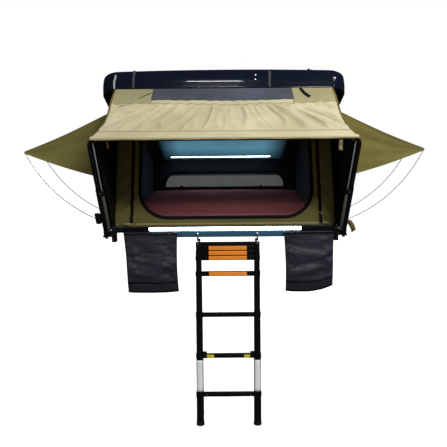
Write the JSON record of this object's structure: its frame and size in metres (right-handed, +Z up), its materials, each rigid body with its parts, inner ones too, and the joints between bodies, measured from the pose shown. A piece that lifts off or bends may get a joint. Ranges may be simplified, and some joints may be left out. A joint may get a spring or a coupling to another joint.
{
  "type": "roof top tent",
  "caption": "Hard-lid roof top tent standing open on a base tray, with canvas walls, awning bow, side hoods on spring rods, shoe bags and a telescopic ladder",
  "frame": {"origin": "centre of the rack bolt pattern, on the underside of the mounting rails", "axes": "+X to the right seen from the ladder side, +Y from the ladder side to the rear, +Z up"},
  "size_m": [2.8766, 2.8406, 2.4575],
  "materials": {
    "lid_gloss": "high gloss, very dark navy",
    "canvas": "olive polycotton canvas",
    "awning_canvas": "light khaki canvas",
    "window_mesh": "grey insect mesh",
    "liner": "dark quilted lining",
    "mattress_cover": "dark maroon knitted cover",
    "black_metal": "black powder coat",
    "floor": "honeycomb panel",
    "bright_metal": "bare aluminium",
    "steel_rod": "drawn steel",
    "spring_paint": "grey-olive paint",
    "stile_tube": "black anodised",
    "rung_grip": "orange moulded plastic",
    "rubber": "black rubber",
    "bag_fabric": "charcoal ripstop",
    "light": "frosted diffuser"
  },
  "bodies": {
    "base": {"mounting_rails": "bright_metal", "base_frame": "black_metal", "floor_panel": "floor", "mattress": "mattress_cover", "side_brackets": "black_metal", "bow_brackets": "black_metal", "rod_sockets": "black_metal", "front_rail": "black_metal", "front_light": "light", "shoe_bag_left": "bag_fabric", "shoe_bag_right": "bag_fabric", "ladder_brackets": "bright_metal", "front_wall": "canvas", "rear_wall": "canvas", "rear_window": "window_mesh", "side_wall_left": "canvas", "side_wall_right": "canvas", "hood_left": "canvas", "hood_right": "canvas"},
    "lid": {"lid_shell": "lid_gloss", "headliner": "liner", "lid_ribs": "bright_metal", "lid_link_brackets": "black_metal", "lid_strut_brackets": "black_metal", "ceiling_light": "light", "awning": "awning_canvas"},
    "rear_links": {"rear_link_left": "black_metal", "rear_link_right": "black_metal"},
    "strut_cylinders": {"strut_cylinder_left": "black_metal", "strut_cylinder_right": "black_metal"},
    "strut_rods": {"strut_rod_left": "steel_rod", "strut_rod_right": "steel_rod"},
    "bow_sleeves": {"sleeve_left": "black_metal", "sleeve_right": "black_metal", "bow_spring_left": "spring_paint", "bow_spring_right": "spring_paint", "awning_side_left": "canvas", "awning_side_right": "canvas"},
    "bow": {"bow_tube": "black_metal", "bow_spring_rod_left": "steel_rod", "bow_spring_rod_right": "steel_rod"},
    "hood_rod_front_left": {"hood_rod_front_left": "steel_rod"},
    "hood_rod_front_right": {"hood_rod_front_right": "steel_rod"},
    "hood_rod_rear_left": {"hood_rod_rear_left": "steel_rod"},
    "hood_rod_rear_right": {"hood_rod_rear_right": "steel_rod"},
    "ladder_1": {"ladder_section_1": "stile_tube", "rung_grip_1": "rung_grip"},
    "ladder_2": {"ladder_section_2": "stile_tube", "rung_grip_2": "rung_grip"},
    "ladder_3": {"ladder_section_3": "stile_tube", "rung_grip_3": "rung_grip"},
    "ladder_4": {"ladder_section_4": "stile_tube", "rung_grip_4": "rung_grip"},
    "ladder_5": {"ladder_section_5": "stile_tube"},
    "ladder_6": {"ladder_section_6": "stile_tube"},
    "ladder_7": {"ladder_section_7": "stile_tube", "ladder_feet": "rubber"}
  },
  "joints": [
    {"name": "lid_tilt", "type": "hinge", "parent": "rear_links", "child": "lid", "pos_m": [0, 0.85671, 0.45262], "axis": [1, 0, 0], "range_deg": [-47.49, 0], "deforming": ["front_wall", "rear_wall", "rear_window", "side_wall_left", "side_wall_right", "hood_left", "hood_right", "awning_side_left", "awning_side_right", "awning"]},
    {"name": "rear_link_swing", "type": "hinge", "parent": "base", "child": "rear_links", "pos_m": [0, 0.96743, 0.10174], "axis": [1, 0, 0], "range_deg": [0, 69.49]},
    {"name": "strut_swing", "type": "hinge", "parent": "base", "child": "strut_cylinders", "pos_m": [0, -0.29, 0.097], "axis": [1, 0, 0], "range_deg": [-19.77, 0]},
    {"name": "strut_slide", "type": "slide", "parent": "strut_cylinders", "child": "strut_rods", "axis": [0, 0.9219, 0.3874], "range_m": [-0.35803, 0]},
    {"name": "bow_swing", "type": "hinge", "parent": "base", "child": "bow_sleeves", "pos_m": [0, -1.115, 0.012], "axis": [1, 0, 0], "range_deg": [-103.03, 0]},
    {"name": "bow_slide", "type": "slide", "parent": "bow_sleeves", "child": "bow", "axis": [0, -0.523, 0.8523], "range_m": [-0.31935, 0]},
    {"name": "hood_rod_front_left_swing", "type": "hinge", "parent": "base", "child": "hood_rod_front_left", "pos_m": [-0.8, -0.84, 0.044], "axis": [1, 0, 0], "range_deg": [-90, 0]},
    {"name": "hood_rod_front_right_swing", "type": "hinge", "parent": "base", "child": "hood_rod_front_right", "pos_m": [0.8, -0.84, 0.044], "axis": [1, 0, 0], "range_deg": [-90, 0]},
    {"name": "hood_rod_rear_left_swing", "type": "hinge", "parent": "base", "child": "hood_rod_rear_left", "pos_m": [-0.8, -0.49, 0.044], "axis": [1, 0, 0], "range_deg": [-90, 0]},
    {"name": "hood_rod_rear_right_swing", "type": "hinge", "parent": "base", "child": "hood_rod_rear_right", "pos_m": [0.8, -0.49, 0.044], "axis": [1, 0, 0], "range_deg": [-90, 0]},
    {"name": "ladder_swing", "type": "hinge", "parent": "base", "child": "ladder_1", "pos_m": [0.017, -1.14, -0.014], "axis": [1, 0, 0], "range_deg": [-75, 6]},
    {"name": "ladder_extend_2", "type": "slide", "parent": "ladder_1", "child": "ladder_2", "axis": [0, -0.1045, -0.9945], "range_m": [0, 0.252]},
    {"name": "ladder_extend_3", "type": "slide", "parent": "ladder_2", "child": "ladder_3", "axis": [0, -0.1045, -0.9945], "range_m": [0, 0.252]},
    {"name": "ladder_extend_4", "type": "slide", "parent": "ladder_3", "child": "ladder_4", "axis": [0, -0.1045, -0.9945], "range_m": [-0.075, 0.177]},
    {"name": "ladder_extend_5", "type": "slide", "parent": "ladder_4", "child": "ladder_5", "axis": [0, -0.1045, -0.9945], "range_m": [-0.25, 0]},
    {"name": "ladder_extend_6", "type": "slide", "parent": "ladder_5", "child": "ladder_6", "axis": [0, -0.1045, -0.9945], "range_m": [-0.252, 0]},
    {"name": "ladder_extend_7", "type": "slide", "parent": "ladder_6", "child": "ladder_7", "axis": [0, -0.1045, -0.9945], "range_m": [-0.152, 0]}
  ],
  "couplings": [
    {"joint": "rear_link_swing", "follows": "lid_tilt", "ratio": -1.4633},
    {"joint": "strut_swing", "follows": "lid_tilt", "ratio": 0.41639},
    {"joint": "strut_slide", "follows": "lid_tilt", "m_per_rad": 0.43198},
    {"joint": "bow_swing", "follows": "lid_tilt", "ratio": 2.1697},
    {"joint": "bow_slide", "follows": "lid_tilt", "m_per_rad": 0.38532},
    {"joint": "hood_rod_front_left_swing", "follows": "lid_tilt", "ratio": 1.8952},
    {"joint": "hood_rod_front_right_swing", "follows": "lid_tilt", "ratio": 1.8952},
    {"joint": "hood_rod_rear_left_swing", "follows": "lid_tilt", "ratio": 1.8952},
    {"joint": "hood_rod_rear_right_swing", "follows": "lid_tilt", "ratio": 1.8952}
  ]
}
